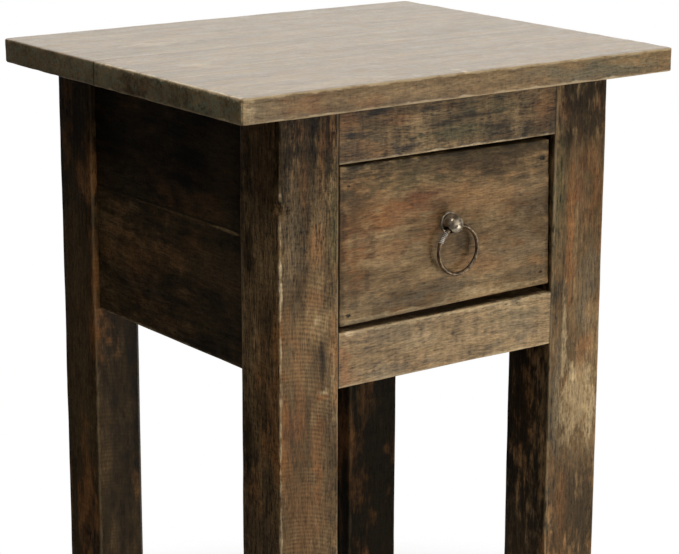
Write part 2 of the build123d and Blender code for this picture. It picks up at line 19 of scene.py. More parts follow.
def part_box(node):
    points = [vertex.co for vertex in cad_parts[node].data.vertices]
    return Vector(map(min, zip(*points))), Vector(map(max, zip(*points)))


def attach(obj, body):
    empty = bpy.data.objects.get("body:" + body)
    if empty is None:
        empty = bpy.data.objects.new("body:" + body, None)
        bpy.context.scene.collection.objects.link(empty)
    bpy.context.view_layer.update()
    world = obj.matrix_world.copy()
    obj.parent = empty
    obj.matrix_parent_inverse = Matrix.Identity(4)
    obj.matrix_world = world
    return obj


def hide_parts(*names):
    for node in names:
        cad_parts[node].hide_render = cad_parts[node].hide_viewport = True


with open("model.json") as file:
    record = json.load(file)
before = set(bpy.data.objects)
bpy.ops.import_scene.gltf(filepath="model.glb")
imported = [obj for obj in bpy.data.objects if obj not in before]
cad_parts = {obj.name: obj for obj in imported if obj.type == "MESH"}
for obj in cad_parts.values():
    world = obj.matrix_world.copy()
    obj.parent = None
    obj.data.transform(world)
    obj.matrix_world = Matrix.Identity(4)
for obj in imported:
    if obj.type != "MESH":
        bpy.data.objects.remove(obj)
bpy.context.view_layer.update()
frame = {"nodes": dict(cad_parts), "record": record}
MM = 0.001
X, Y, Z = 0, 1, 2

# %% [markdown]
# ## The camera
#
# The camera stands in front of the table and to its left, a little above the top, with a long
# lens that keeps the verticals nearly parallel. Its place is measured from the near corner of
# the top, so that it would follow the table if the design moved. The rotation is built from the
# azimuth and elevation that could be read off a tripod head.

# %% Place the camera
CAMERA_AZIMUTH = math.radians(-36.14)
CAMERA_ELEVATION = math.radians(14.52)
CAMERA_ROLL = math.radians(0.17)
CAMERA_LENS = 118.2
CAMERA_FROM_CORNER = Vector((-826.7, -1245.3, 262.4)) * MM

top_front_low, top_front_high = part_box("top_board_front")
near_corner = Vector((top_front_low.x, top_front_low.y, top_front_high.z))

camera = bpy.data.objects.new("camera", bpy.data.cameras.new("camera"))
bpy.context.scene.collection.objects.link(camera)
bpy.context.scene.camera = camera
camera.data.lens = CAMERA_LENS

back = Vector((math.sin(CAMERA_AZIMUTH) * math.cos(CAMERA_ELEVATION),
               -math.cos(CAMERA_AZIMUTH) * math.cos(CAMERA_ELEVATION),
               math.sin(CAMERA_ELEVATION)))
level = Vector((math.cos(CAMERA_AZIMUTH), math.sin(CAMERA_AZIMUTH), 0))
upright = back.cross(level)
right = level * math.cos(CAMERA_ROLL) + upright * math.sin(CAMERA_ROLL)
up = upright * math.cos(CAMERA_ROLL) - level * math.sin(CAMERA_ROLL)
turn = Matrix((right, up, back)).transposed().to_4x4()
camera.matrix_world = Matrix.Translation(near_corner + CAMERA_FROM_CORNER) @ turn
print("camera at", [round(x, 3) for x in camera.matrix_world.translation])

# %% [markdown]
# ## Writing finishes as sums
#
# A finish is a tree of shader nodes. Placing nodes one by one hides the idea behind wiring, so a
# small class wraps a socket and lets ordinary arithmetic add the Math nodes: `1 - mask` or
# `a * b + c` reads as it would on paper. Every other node comes from one method that takes its
# type, its settings and the values of its sockets.

# %% Wires
class Wire:
    """An output socket of a finish. Arithmetic on it adds Math nodes."""

    def __init__(self, finish, socket):
        self.finish = finish
        self.socket = socket

    def __add__(self, other):
        return self.finish.maths("ADD", self, other)

    def __radd__(self, other):
        return self.finish.maths("ADD", other, self)

    def __sub__(self, other):
        return self.finish.maths("SUBTRACT", self, other)

    def __rsub__(self, other):
        return self.finish.maths("SUBTRACT", other, self)

    def __mul__(self, other):
        return self.finish.maths("MULTIPLY", self, other)

    def __rmul__(self, other):
        return self.finish.maths("MULTIPLY", other, self)

    def __truediv__(self, other):
        return self.finish.maths("DIVIDE", self, other)

    def least(self, other):
        return self.finish.maths("MINIMUM", self, other)

    def most(self, other):
        return self.finish.maths("MAXIMUM", self, other)

    def sine(self):
        return self.finish.maths("SINE", self)

    def rise(self, low, high):
        """0 below low, 1 above high, and smooth between them. It falls if low is the larger."""
        sockets = {"Value": self, "From Min": low, "From Max": high}
        return self.finish.node("MapRange", {"interpolation_type": "SMOOTHSTEP"}, sockets)["Result"]


# %% Finishes
class Finish:
    """A material, or the world, under construction."""

    def __init__(self, holder):
        self.holder = holder
        holder.use_nodes = True
        self.tree = holder.node_tree
        self.tree.nodes.clear()

    def node(self, kind, settings=None, sockets=None):
        """Adds a node, sets what it does, then sets or links its sockets."""
        made = self.tree.nodes.new("ShaderNode" + kind)
        for name, value in (settings or {}).items():
            if name == "stops":
                set_stops(made.color_ramp, value)
            else:
                setattr(made, name, value)
        for key, value in (sockets or {}).items():
            if isinstance(key, int):
                target = made.inputs[key]
            else:
                target = next(s for s in made.inputs if s.name == key and s.enabled)
            if isinstance(value, Wire):
                self.tree.links.new(value.socket, target)
            else:
                target.default_value = value
        return {s.name: Wire(self, s) for s in made.outputs if s.enabled}

    def maths(self, operation, *values):
        return self.node("Math", {"operation": operation}, dict(enumerate(values)))["Value"]

    def vectors(self, operation, *values):
        made = self.node("VectorMath", {"operation": operation}, dict(enumerate(values)))
        return next(iter(made.values()))

    def place(self):
        """Where the shaded point lies on the table, in metres."""
        return self.node("TexCoord")["Object"]

    def axes(self, vector):
        parts = self.node("SeparateXYZ", sockets={"Vector": vector})
        return [parts["X"], parts["Y"], parts["Z"]]

    def noise(self, vector, size, detail=3.0, roughness=0.5):
        """Cloudy noise about 0, whose patches are about size metres across."""
        sockets = {"Vector": vector, "Scale": 1 / size, "Detail": detail, "Roughness": roughness}
        return self.node("TexNoise", {}, sockets)["Fac"] - 0.5

    def mix(self, share, first, second):
        """Lays the second colour over the first by a share from 0 to 1."""
        return self.node("Mix", {"data_type": "RGBA"}, {"Factor": share, "A": first, "B": second})["Result"]

    def brighten(self, colour, factor):
        return self.node("VectorMath", {"operation": "SCALE"}, {0: colour, "Scale": factor})["Vector"]

    def bump(self, height, strength, distance):
        sockets = {"Height": height, "Strength": strength, "Distance": distance}
        return self.node("Bump", {}, sockets)["Normal"]

    def surface(self, sockets):
        shader = self.node("BsdfPrincipled", {}, sockets)["BSDF"]
        self.node("OutputMaterial", {}, {"Surface": shader})
        return self.holder


def set_stops(ramp, stops):
    while len(ramp.elements) < len(stops):
        ramp.elements.new(1.0)
    for element, (position, colour) in zip(ramp.elements, stops):
        element.position = position
        element.color = colour


def tint(red, green, blue):
    """A colour as a paint chart shows it, from 0 to 255, turned into the light it reflects."""
    parts = [part / 255 for part in (red, green, blue)]
    return tuple(p / 12.92 if p <= 0.04045 else ((p + 0.055) / 1.055) ** 2.4 for p in parts) + (1.0,)


print("yellow brown as light:", [round(part, 3) for part in tint(140, 115, 80)[:3]])

# %% [markdown]
# ## Stained and rubbed wood
#
# The real wood was stained nearly black, then rubbed back and waxed, so it is dark in hollows
# and pale on corners, with orange heartwood and grey haze between. Solid wood has its figure in
# three dimensions: growth rings are cylinders round the pith, which make arcs on an end and
# streaks or tongues on a side. So the rings are worked out from the distance to a pith line
# beside each board, and the ends match the faces with no seams. Blotches, streaks and fibres are
# noise squeezed along the grain, and marks that one board has and another lacks are soft spots
# with places of their own.

# %% Stain colours, which also serve for painted shade and painted light
STAINS_AND_PAINTED_LIGHT = {
    "black": tint(24, 19, 10),
    "dark": tint(58, 45, 27),
    "brown": tint(96, 75, 49),
    "tan": tint(138, 113, 78),
    "pale": tint(176, 152, 112),
    "orange": tint(130, 87, 49),
    "red": tint(104, 64, 40),
    "grey": tint(102, 89, 68),
    "olive": tint(84, 76, 48),
    "bare": tint(205, 180, 140),
    "haze": tint(104, 104, 82),
}
TONES = [(0.0, STAINS_AND_PAINTED_LIGHT["black"]), (0.25, STAINS_AND_PAINTED_LIGHT["dark"]), (0.5, STAINS_AND_PAINTED_LIGHT["brown"]), (0.75, STAINS_AND_PAINTED_LIGHT["tan"]),
         (1.0, STAINS_AND_PAINTED_LIGHT["pale"])]
print("stains:", ", ".join(STAINS_AND_PAINTED_LIGHT))

# %% Figure
# For each kind of figure: how much it is squeezed along the grain, its size across the grain, and
# its noise's detail and roughness.
FIGURE = {
    "fibres": (0.12, 1.3 * MM, 3.0, 0.7),
    "flecks": (0.2, 2.6 * MM, 3.0, 0.6),
    "bands": (0.08, 10 * MM, 3.0, 0.55),
    "mottle": (0.55, 10 * MM, 4.0, 0.65),
    "clouds": (0.45, 34 * MM, 4.0, 0.6),
    "grit": (0.3, 1.1 * MM, 2.0, 0.6),
}
CURL_SIZE = 5 * MM
HATCH_SIZE = 1.5 * MM
DRIFT_SCALE = 22.0
DRIFT_REACH = 12 * MM
RING_STEP = 4.8 * MM


def along(finish, vector, grain, share, across=1.0):
    """Scales a place by a share along the grain, which draws noise out that way, and across it."""
    factors = [across, across, across]
    factors[grain] = share
    return finish.vectors("MULTIPLY", vector, tuple(factors))


def growth_rings(finish, wavy, low, high, grain, seed, start, clouds):
    """Growth rings as a wave about 0, from the distance to a pith line beside the board."""
    pith = [(low[a] + high[a]) / 2 + pith_offset(seed, a) + start[a] for a in range(3)]
    from_pith = finish.vectors("SUBTRACT", wavy, tuple(pith))
    radius = finish.vectors("LENGTH", along(finish, from_pith, grain, 0.05))
    return (radius * (2 * math.pi / RING_STEP) + clouds * 6.0).sine()


def pith_offset(seed, axis):
    """Where the heart of the tree lay, from the middle of a board: 60 to 110 mm off, each way."""
    return (0.06 + 0.05 * ((seed * 0.37 + axis * 0.29) % 1.0)) * (-1 if (seed + axis) % 2 else 1)


# %% Spots, seams and saw marks
SEAM_FULL = 0.2 * MM
SEAM_FADE = 1.2 * MM
# The saw's marks lie SAW_PITCH apart. They bend by SAW_CURVE times the square of the way in from
# the corner, and wander up and down by SAW_DRIFT. They show below SAW_TOP, near the corner.
SAW_PITCH = 3.3 * MM
SAW_CURVE = 5.0
SAW_SWING = 150.0
SAW_DRIFT = 1.3 * MM
SAW_TOP = 0.61
SAW_FADE = 0.06
SAW_WIDTH = 0.062
SAW_FULL_WIDTH = 0.034


def lay_spots(finish, colour, place, fray, spots):
    """Lays soft spots with frayed edges over a colour, and tells where the dark ones are: dark stains and
    painted shade alike.
    """
    dark_stain_and_shade = fray * 0
    for mark_colour, middle, reach, strength in spots:
        offset = finish.vectors("DIVIDE", finish.vectors("SUBTRACT", place, tuple(middle)), tuple(reach))
        share = (finish.vectors("LENGTH", offset) + fray).rise(1.3, 0.3) * strength
        colour = finish.mix(share, colour, STAINS_AND_PAINTED_LIGHT[mark_colour])
        if mark_colour in ("black", "dark"):
            dark_stain_and_shade = dark_stain_and_shade.most(share)
    return colour, dark_stain_and_shade


def arris_and_seams(parts, low, high, joined):
    """How far off the nearest free arris is, and a mask of the seams with other boards."""
    seams = parts[X] * 0
    near = []
    for a in range(3):
        gaps = [parts[a] - low[a], high[a] - parts[a]]
        for side in (0, 1):
            if (a, side) in joined:
                seams = seams.most(gaps[side].rise(SEAM_FADE, SEAM_FULL))
        free = [gap for side, gap in enumerate(gaps) if (a, side) not in joined]
        near.append(free[0].least(free[-1]) if free else parts[a] * 0 + 1)
    # The distance to an arris is the second smallest of the distances to the faces.
    arris = near[0].least(near[1]).most(near[0].most(near[1]).least(near[2]))
    return arris, seams


def saw_marks(parts, facing, low):
    """Curved ripples about 0, and a mask of the part of the front that has them."""
    side_way = (parts[X] - low[X]) + (parts[Y] - low[Y])
    cut = parts[Z] + side_way * side_way * SAW_CURVE + (parts[Z] * SAW_SWING).sine() * SAW_DRIFT
    ripple = (cut * (2 * math.pi / SAW_PITCH)).sine()
    sawn = parts[Z].rise(SAW_TOP, SAW_TOP - SAW_FADE) * side_way.rise(SAW_WIDTH, SAW_FULL_WIDTH)
    return ripple, sawn * (facing[Y] * facing[Y]).rise(0.4, 0.8)


# %% The wood finish
def stained_wood(name, low, high, grain, seed, shade=0.5, orange=0.3, grey=0.3, spots=(), wear=0.4,
                 saw=False, joined=(), seam=0.7, blotch=1.0, mottled=0.8, curly=0.3, hatched=0.5,
                 flecked=0.6, contrast=1.0, roughness=0.48, shine=0.16, wax=0.0, end_haze=0.0):
    """Wood for one board. low and high are its corners and grain is the axis its fibres run along.

    shade picks a place on TONES, orange and grey are how far those stains cover it, and spots are
    (colour, centre, reach, strength): mostly stains and wear, with some painted shade and painted
    light. blotch, mottled, curly, hatched and flecked are how strong the large patches, the small
    ones, the curl, the fine lines across and the pores are, and contrast is the strength of all fine
    figure. wear bares the arrises. joined lists the (axis, side) of each end that meets another
    board: it stays sharp and has a seam, as dark as seam says. shine is how strongly the bare wood
    reflects, wax is a clear coat on faces that look up, and end_haze is the grey-green film on sawn
    ends.
    """
    finish = Finish(bpy.data.materials.new(name))
    place = finish.place()
    parts = finish.axes(place)
    facing = finish.axes(finish.node("NewGeometry")["Normal"])
    start = (seed * 0.73, seed * 0.41, seed * 0.57)
    shift = finish.vectors("ADD", place, start)

    # Nothing in wood is straight, so all the figure is drawn on a slowly wandering space.
    sockets = {"Vector": along(finish, shift, grain, 0.3), "Scale": DRIFT_SCALE, "Detail": 2.0}
    drift = finish.vectors("SUBTRACT", finish.node("TexNoise", {}, sockets)["Color"], (0.5, 0.5, 0.5))
    wavy = finish.vectors("MULTIPLY_ADD", drift, (DRIFT_REACH, DRIFT_REACH, DRIFT_REACH), shift)
    fibres, flecks, bands, mottle, clouds, grit = [
        finish.noise(along(finish, wavy, grain, share), size, detail, coarse)
        for share, size, detail, coarse in FIGURE.values()]
    curl = finish.noise(along(finish, shift, grain, 1.0, 0.3), CURL_SIZE, 2.0, 0.5)
    hatch = finish.noise(along(finish, shift, grain, 1.0, 0.3), HATCH_SIZE, 2.0, 0.6)
    rings = growth_rings(finish, wavy, low, high, grain, seed, start, clouds)

    tone = clouds * (0.85 * blotch) + (mottle * 0.6 + bands * 0.5) * mottled + rings * 0.02 + shade
    colour = finish.node("ValToRGB", {"stops": TONES}, {"Fac": tone})["Color"]
    warm = finish.noise(along(finish, shift, grain, 0.35), 40 * MM, 3.0, 0.6) + mottle * 0.4 + bands * 0.3
    cool = finish.noise(along(finish, wavy, grain, 0.4), 28 * MM, 3.0, 0.6) + flecks * 0.4
    colour = finish.mix(warm.rise(0.0, 0.22) * orange, colour, STAINS_AND_PAINTED_LIGHT["orange"])
    colour = finish.mix(cool.rise(0.02, 0.2) * grey, colour, STAINS_AND_PAINTED_LIGHT["grey"])
    fray = mottle * 3.0 + flecks * 2.0 + bands * 1.6
    colour, dark_stain_and_shade = lay_spots(finish, colour, place, fray, spots)

    # Fine figure darkens and lightens whatever stain lies under it.
    figure = fibres * 1.5 + grit * 0.9 + flecks * flecked + curl * curly + hatch * hatched + rings * 0.025
    pores = fibres.rise(0.13, 0.2) * flecks.rise(-0.05, 0.1)
    height = figure - pores * 0.25
    if saw:
        ripple, sawn = saw_marks(parts, facing, low)
        ripple = ripple * sawn * (clouds + mottle).rise(-0.2, 0.12)
        figure = figure * (1.0 - sawn * 0.5) + ripple * 0.08
    colour = finish.brighten(colour, (figure * (1.5 * contrast) + 1.0).most(0.15))
    colour = finish.mix(pores * (0.7 * flecked), colour, STAINS_AND_PAINTED_LIGHT["black"])

    arris, seams = arris_and_seams(parts, low, high, joined)
    rubbed = (arris + mottle * 0.006 + flecks * 0.003).rise(0.0024, 0.0005) * (1 - dark_stain_and_shade)
    colour = finish.mix(rubbed * wear, colour, STAINS_AND_PAINTED_LIGHT["bare"])
    sawn_end = (facing[grain] * facing[grain]).rise(0.4, 0.8)
    if end_haze:
        speckle = finish.noise(shift, 4 * MM, 4.0, 0.7) * 1.6 + clouds * 0.6 + grit * 0.5
        hazy = sawn_end * speckle.rise(-0.12, 0.14) * (arris + mottle * 0.004).rise(0.0006, 0.0022)
        colour = finish.mix(hazy * end_haze, colour, STAINS_AND_PAINTED_LIGHT["haze"])
        colour = finish.brighten(colour, ((clouds * 1.2 + speckle * 0.5) * sawn_end + 1.0).most(0.3))
    colour = finish.mix(seams * (sawn_end * (0.9 - seam) + seam), colour, STAINS_AND_PAINTED_LIGHT["black"])

    rough = mottle * 0.4 + flecks * 0.25 + pores * 0.2 + roughness
    sockets = {"Base Color": colour, "Roughness": rough, "Normal": finish.bump(height, 0.5, 0.6 * MM),
               "Specular IOR Level": shine}
    if wax:
        sockets.update({"Coat Weight": facing[Z].rise(0.5, 0.95) * wax, "Coat Roughness": 0.32})
    return finish.surface(sockets)


# %% [markdown]
# ## Boards with worn corners
#
# A board could be the plain box from the design with a bevel. That looks machine made: the real
# one was worked by hand and has been knocked about, so its faces are slightly wavy and its
# arrises are rounded unevenly. Each board here starts as a cube at the board's own size, its
# arrises are bevelled, and it is cut up finely enough for Displace modifiers to move the surface
# by fractions of a millimetre.

# %% Selecting
def alone(piece):
    """Deselects everything, then selects one piece and makes it active."""
    bpy.ops.object.select_all(action="DESELECT")
    piece.select_set(True)
    bpy.context.view_layer.objects.active = piece


def pick(piece, kind, wanted):
    """In edit mode, selects just the faces or edges that a test picks."""
    mesh = bmesh.from_edit_mesh(piece.data)
    bpy.ops.mesh.select_all(action="DESELECT")
    bpy.ops.mesh.select_mode(type="FACE" if kind == "faces" else "EDGE")
    for part in getattr(mesh, kind):
        if wanted(part):
            part.select_set(True)
    bmesh.update_edit_mesh(piece.data)


# %% Cubes cut up
def block(name, low, high):
    """A cube primitive added at a board's size and place."""
    bpy.ops.object.select_all(action="DESELECT")
    bpy.ops.mesh.primitive_cube_add(size=1, location=(low + high) / 2, scale=high - low)
    piece = bpy.context.object
    piece.name = name
    piece.data.name = name
    bpy.ops.object.transform_apply(location=True, rotation=True, scale=True)
    return piece


def runs_along(edge, axis, shortest):
    line = edge.verts[1].co - edge.verts[0].co
    return abs(line[axis]) > shortest and abs(line[axis]) > 0.999 * line.length


def cut_up(piece, low, high, cells):
    """Cuts a box into rows along each axis by subdividing the edges that run that way, twice."""
    for axis in range(3):
        first = max(1, round(math.sqrt(cells[axis])))
        second = max(1, round(cells[axis] / first))
        length = high[axis] - low[axis] - 8 * MM
        for rows, longer_than in ((first, 0.6 * length), (second, 0.6 * length / first)):
            if rows > 1:
                pick(piece, "edges", lambda edge: runs_along(edge, axis, longer_than))
                bpy.ops.mesh.subdivide(number_cuts=rows - 1)


# %% Wear
def smooth_step(low, high, values):
    share = np.clip((values - low) / (high - low), 0, 1)
    return share * share * (3 - 2 * share)


def points_of(piece):
    return np.array([vertex.co for vertex in piece.data.vertices])


def normals_of(piece):
    return np.array([vertex.normal for vertex in piece.data.vertices])


def arris_group(piece, low, high, width, joined=()):
    """A vertex group that is 1 on the arrises and fades to 0 at a distance from them."""
    points = points_of(piece)
    gaps = [points - np.array(low), np.array(high) - points]
    for axis, side in joined:
        gaps[side][:, axis] = 1.0
    near = np.minimum(gaps[0], gaps[1])
    weights = np.clip(1 - np.sort(near, axis=1)[:, 1] / width, 0, 1)
    group = piece.vertex_groups.new(name="arris")
    for index in np.nonzero(weights > 0)[0]:
        group.add([int(index)], float(weights[index]), "REPLACE")


def rough_up(piece, size, depth, stretch, shift, group="", level=0.5):
    """Displaces a piece by cloudy noise, which stretch lengthens along an axis."""
    cloud = bpy.data.textures.new(piece.name + "_cloud", "CLOUDS")
    cloud.noise_scale = size
    cloud.noise_depth = 2
    guide = bpy.data.objects.new(piece.name + "_guide", None)
    bpy.context.scene.collection.objects.link(guide)
    guide.location = (shift, shift * 0.7, -shift * 0.4)
    guide.scale = stretch
    bpy.context.view_layer.update()
    push = piece.modifiers.new("rough", "DISPLACE")
    push.texture = cloud
    push.texture_coords = "OBJECT"
    push.texture_coords_object = guide
    push.strength = depth
    push.mid_level = level
    push.vertex_group = group
    alone(piece)
    bpy.ops.object.modifier_apply(modifier=push.name)
    bpy.data.objects.remove(guide)
    bpy.data.textures.remove(cloud)


def move_points(piece, points):
    piece.data.vertices.foreach_set("co", np.ascontiguousarray(points, dtype=np.float32).ravel())
    piece.data.update()


# %% One board
WAVE_DEPTH = 0.5 * MM
RIPPLE_DEPTH = 0.15 * MM
WORN_DEPTH = 0.9 * MM
WORN_WIDTH = 4 * MM
SMOOTH_BELOW = math.radians(40)
TOUCHING = 1e-6


def board(node, low, high, grain, arris=1.3, cells=(3, 3, 3), seed=0, joined=(), chamfer=None):
    """A cube with bevelled arrises, fine cuts and a hand-worked surface.

    arris and cells are in millimetres. chamfer is the place of one upright arris and the width
    that is planed off it.
    """
    piece = block(node + "_worn", low, high)
    bpy.ops.object.mode_set(mode="EDIT")

    def on_corner_line(edge):
        for axis, side in joined:
            face = (low, high)[side][axis]
            if all(abs(vertex.co[axis] - face) < TOUCHING for vertex in edge.verts):
                return False
        return True

    if chamfer:
        place, width = chamfer
        pick(piece, "edges", lambda edge: all(
            abs(vertex.co[a] - place[a]) < TOUCHING for vertex in edge.verts for a in (X, Y)))
        bpy.ops.mesh.bevel(offset=width, segments=1)
    pick(piece, "edges", on_corner_line)
    bpy.ops.mesh.bevel(offset=arris * MM, segments=3, profile=0.5)
    cut_up(piece, low, high, [max(1, round((high[a] - low[a]) / (cells[a] * MM))) for a in range(3)])
    bpy.ops.object.mode_set(mode="OBJECT")
    stretch = [1.0, 1.0, 1.0]
    stretch[grain] = 4.0
    arris_group(piece, low, high, WORN_WIDTH, joined)
    rough_up(piece, 50 * MM, WAVE_DEPTH, stretch, seed * 0.31)
    rough_up(piece, 11 * MM, RIPPLE_DEPTH, stretch, seed * 0.17)
    rough_up(piece, 13 * MM, -WORN_DEPTH, stretch, seed * 0.47, group="arris", level=0.35)
    return piece


def finish_board(piece, node, body, material):
    """Smooths a board, gives it its material and lets it stand for its node in the design."""
    alone(piece)
    bpy.ops.object.shade_smooth_by_angle(angle=SMOOTH_BELOW)
    piece.vertex_groups.clear()
    piece.data.materials.clear()
    piece.data.materials.append(material)
    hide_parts(node)
    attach(piece, body)
    print(piece.name, "faces:", len(piece.data.polygons))


# %% [markdown]
# ## Marks of their own
#
# Noise alone makes boards that differ but have no history. Knots, scorched corners, rubbed places
# and streaks of other stain are laid on instead. Each is a soft ellipsoid in space with a
# frayed edge, so it shows on every face that it touches. A mark's place is given on its face, in
# millimetres, as one would measure it with a ruler from the middle of the table and the floor.
# A few of the marks are not stain or wear but painted shade and painted light, laid where the table is in
# shade or lit.

# %% Spots on a face
SPOT_DEPTH = 12.0
ARRIS_REACH = 1.6


def on_front(node, marks):
    """Spots on the front of a board, each as (colour, x, z, reach in x, reach in z, strength) in mm. Most
    are stains and wear; a few are painted shade and painted light.
    """
    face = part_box(node)[0].y
    return [(mark_colour, (x * MM, face, z * MM), (wide * MM, SPOT_DEPTH * MM, tall * MM), strength)
            for mark_colour, x, z, wide, tall, strength in marks]


def on_left(node, marks):
    """The same on the left side, with y in place of x."""
    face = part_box(node)[0].x
    return [(mark_colour, (face, y * MM, z * MM), (SPOT_DEPTH * MM, wide * MM, tall * MM), strength)
            for mark_colour, y, z, wide, tall, strength in marks]


def on_top(node, marks):
    """The same on the top, as (stain, x, y, reach in x, reach in y, strength)."""
    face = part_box(node)[1].z
    return [(mark_colour, (x * MM, y * MM, face), (long * MM, deep * MM, SPOT_DEPTH * MM), strength)
            for mark_colour, x, y, long, deep, strength in marks]


def on_arris(x, y, marks):
    """Narrow marks along an upright arris, each as (stain, z, reach in z, strength) in mm."""
    return [(mark_colour, (x, y, z * MM), (ARRIS_REACH * MM, ARRIS_REACH * MM, tall * MM), strength)
            for mark_colour, z, tall, strength in marks]


# %% [markdown]
# ## The legs
#
# The legs were sawn square and hardly planed, so curved saw marks cross the fronts of the two
# left ones below the drawer. The marks are ridges of a fraction of a millimetre in the mesh, and
# the finish darkens between them by the same formula. The rear left leg is slimmer, with one
# broad planed arris, and a splinter has been knocked out of the near leg's arris.

# %% Marks on the legs
# The wide black and dark bands across the top of this leg's front, just under the overhang of the top, are
# partly stain and partly painted shade.
front_left_marks = on_front("leg_front_left", [
    ("black", -149, 664, 13, 14, 0.85), ("black", -124, 661, 16, 8, 0.8),
    ("black", -152, 648, 5, 20, 0.5), ("dark", -131, 650, 24, 50, 0.4),
    ("orange", -115, 673, 7, 13, 0.65), ("red", -139, 678, 8, 7, 0.5), ("olive", -110, 600, 4, 50, 0.6),
    ("dark", -112, 562, 5, 22, 0.5), ("tan", -125, 610, 6, 45, 0.35),
    ("orange", -125, 592, 7, 15, 0.45), ("grey", -148, 600, 10, 55, 0.35),
    ("dark", -143, 556, 9, 18, 0.3), ("orange", -127, 553, 7, 14, 0.4),
    ("tan", -127, 533, 12, 12, 0.75), ("pale", -124, 536, 4, 5, 0.6), ("black", -121, 514, 2.2, 7, 0.6),
    ("black", -119, 499, 2.4, 9, 0.5), ("pale", -117, 481, 5, 3, 0.7), ("orange", -118, 478, 7, 3, 0.7),
    ("tan", -110, 500, 4, 45, 0.7), ("orange", -110, 515, 3, 30, 0.4), ("dark", -120, 460, 5, 18, 0.4),
    ("red", -146, 462, 12, 16, 0.3), ("orange", -128, 424, 5, 3, 0.75), ("dark", -106, 420, 3, 25, 0.6),
    ("orange", -135, 390, 20, 40, 0.25), ("tan", -145, 510, 14, 40, 0.2),
    ("black", -114, 668, 3, 24, 0.5), ("black", -127, 672, 2.2, 22, 0.5),
    ("black", -143, 668, 3.5, 22, 0.5), ("orange", -121, 655, 3, 26, 0.5),
    ("orange", -136, 646, 3, 22, 0.45), ("orange", -140, 480, 5, 50, 0.4),
    ("orange", -124, 440, 6, 40, 0.4), ("black", -113, 470, 2, 30, 0.4),
    ("black", -156, 625, 5, 7, 0.95), ("black", -133, 684, 34, 13, 0.6),
    ("dark", -157, 662, 8, 32, 0.95), ("black", -135, 664, 28, 22, 0.45),
    ("dark", -128, 640, 24, 26, 0.4)])
front_left_marks += on_left("leg_front_left", [
    ("black", -110, 585, 6, 18, 0.7), ("black", -112, 430, 7, 30, 0.6), ("tan", -102, 535, 4, 32, 0.5),
    ("orange", -130, 640, 12, 20, 0.3), ("dark", -143, 570, 3, 50, 0.5),
    ("black", -110, 650, 5, 20, 0.5), ("brown", -132, 610, 14, 40, 0.4),
    ("brown", -130, 660, 16, 20, 0.4)])
arris_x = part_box("leg_front_left")[0].x
arris_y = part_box("leg_front_left")[0].y
front_left_marks += on_arris(arris_x, arris_y, [
    ("bare", 585, 36, 1.0), ("bare", 520, 50, 0.9), ("bare", 440, 60, 0.85), ("bare", 340, 70, 0.6),
    ("bare", 634, 2, 0.8)])
# The wide black and dark bands across the top of this leg's front are likewise partly stain and partly
# painted shade under the overhang of the top.
front_right_marks = on_front("leg_front_right", [
    ("black", 112, 645, 13, 8, 0.8), ("black", 136, 652, 20, 10, 0.65), ("dark", 128, 668, 30, 22, 0.5),
    ("red", 110, 667, 9, 13, 0.5), ("red", 146, 670, 8, 8, 0.4), ("orange", 139, 628, 9, 14, 0.4),
    ("orange", 147, 610, 5, 25, 0.3), ("olive", 106, 590, 5, 60, 0.55),
    ("orange", 121, 575, 5, 60, 0.65), ("orange", 124, 530, 4, 30, 0.4),
    ("dark", 135, 564, 2.5, 14, 0.55), ("grey", 142, 535, 10, 24, 0.5), ("grey", 135, 500, 9, 18, 0.65),
    ("dark", 133, 488, 6, 10, 0.4), ("dark", 104, 521, 4, 7, 0.5), ("pale", 116, 475, 2.5, 42, 0.55),
    ("tan", 133, 430, 26, 45, 0.55), ("grey", 110, 440, 5, 60, 0.6), ("orange", 140, 476, 9, 8, 0.6),
    ("orange", 134, 462, 6, 16, 0.45), ("pale", 126, 455, 3, 9, 0.8), ("pale", 146, 420, 6, 32, 0.35),
    ("dark", 130, 330, 34, 42, 0.75), ("orange", 117, 345, 6, 30, 0.5),
    ("black", 128, 682, 34, 17, 0.75), ("black", 126, 658, 34, 18, 0.5),
    ("pale", 131, 432, 20, 34, 0.4), ("olive", 108, 625, 5, 40, 0.5), ("dark", 133, 640, 3, 30, 0.4),
    ("red", 128, 610, 5, 34, 0.4), ("dark", 128, 645, 32, 24, 0.4), ("dark", 127, 330, 34, 50, 0.5)])
# This leg's left side faces in under the table, and it is painted black over nearly all its height: painted
# shade.
front_right_marks += on_left("leg_front_right", [
    ("black", -112, 640, 36, 60, 0.85), ("black", -112, 540, 36, 80, 0.85),
    ("black", -112, 420, 36, 90, 0.85), ("black", -112, 310, 36, 90, 0.7)])
rear_left_marks = on_front("leg_rear_left", [
    ("black", -135, 640, 30, 60, 0.6), ("black", -128, 500, 20, 100, 0.45)])
rear_left_marks += on_left("leg_rear_left", [
    ("brown", 142, 500, 22, 60, 0.4), ("brown", 140, 400, 26, 60, 0.5)])
LEGS = {
    "leg_front_left": {"seed": 1, "shade": 0.45, "orange": 0.75, "grey": 0.05, "wear": 0.25,
                       "contrast": 1.7, "shine": 0.07, "saw": True, "spots": front_left_marks},
    "leg_front_right": {"seed": 2, "shade": 0.45, "orange": 0.45, "grey": 0.1, "wear": 0.3,
                        "contrast": 0.95, "hatched": 0.3, "shine": 0.07, "spots": front_right_marks},
    "leg_rear_left": {"seed": 3, "shade": 0.22, "orange": 0.8, "grey": 0.0, "wear": 0.12,
                      "shine": 0.06, "saw": True, "spots": rear_left_marks},
    "leg_rear_right": {"seed": 4, "shade": -0.05, "orange": 0.35, "grey": 0.0, "wear": 0.05,
                       "shine": 0.03},
}
SAW_DEPTH = 0.035 * MM
LEG_ARRIS = 1.8
LEG_CELLS = (8, 8, 0.9)
REAR_CHAMFER = 5.5 * MM
CHIP_BOTTOM = 619 * MM
CHIP_TOP = 631 * MM
CHIP_DEPTH = 2.6 * MM
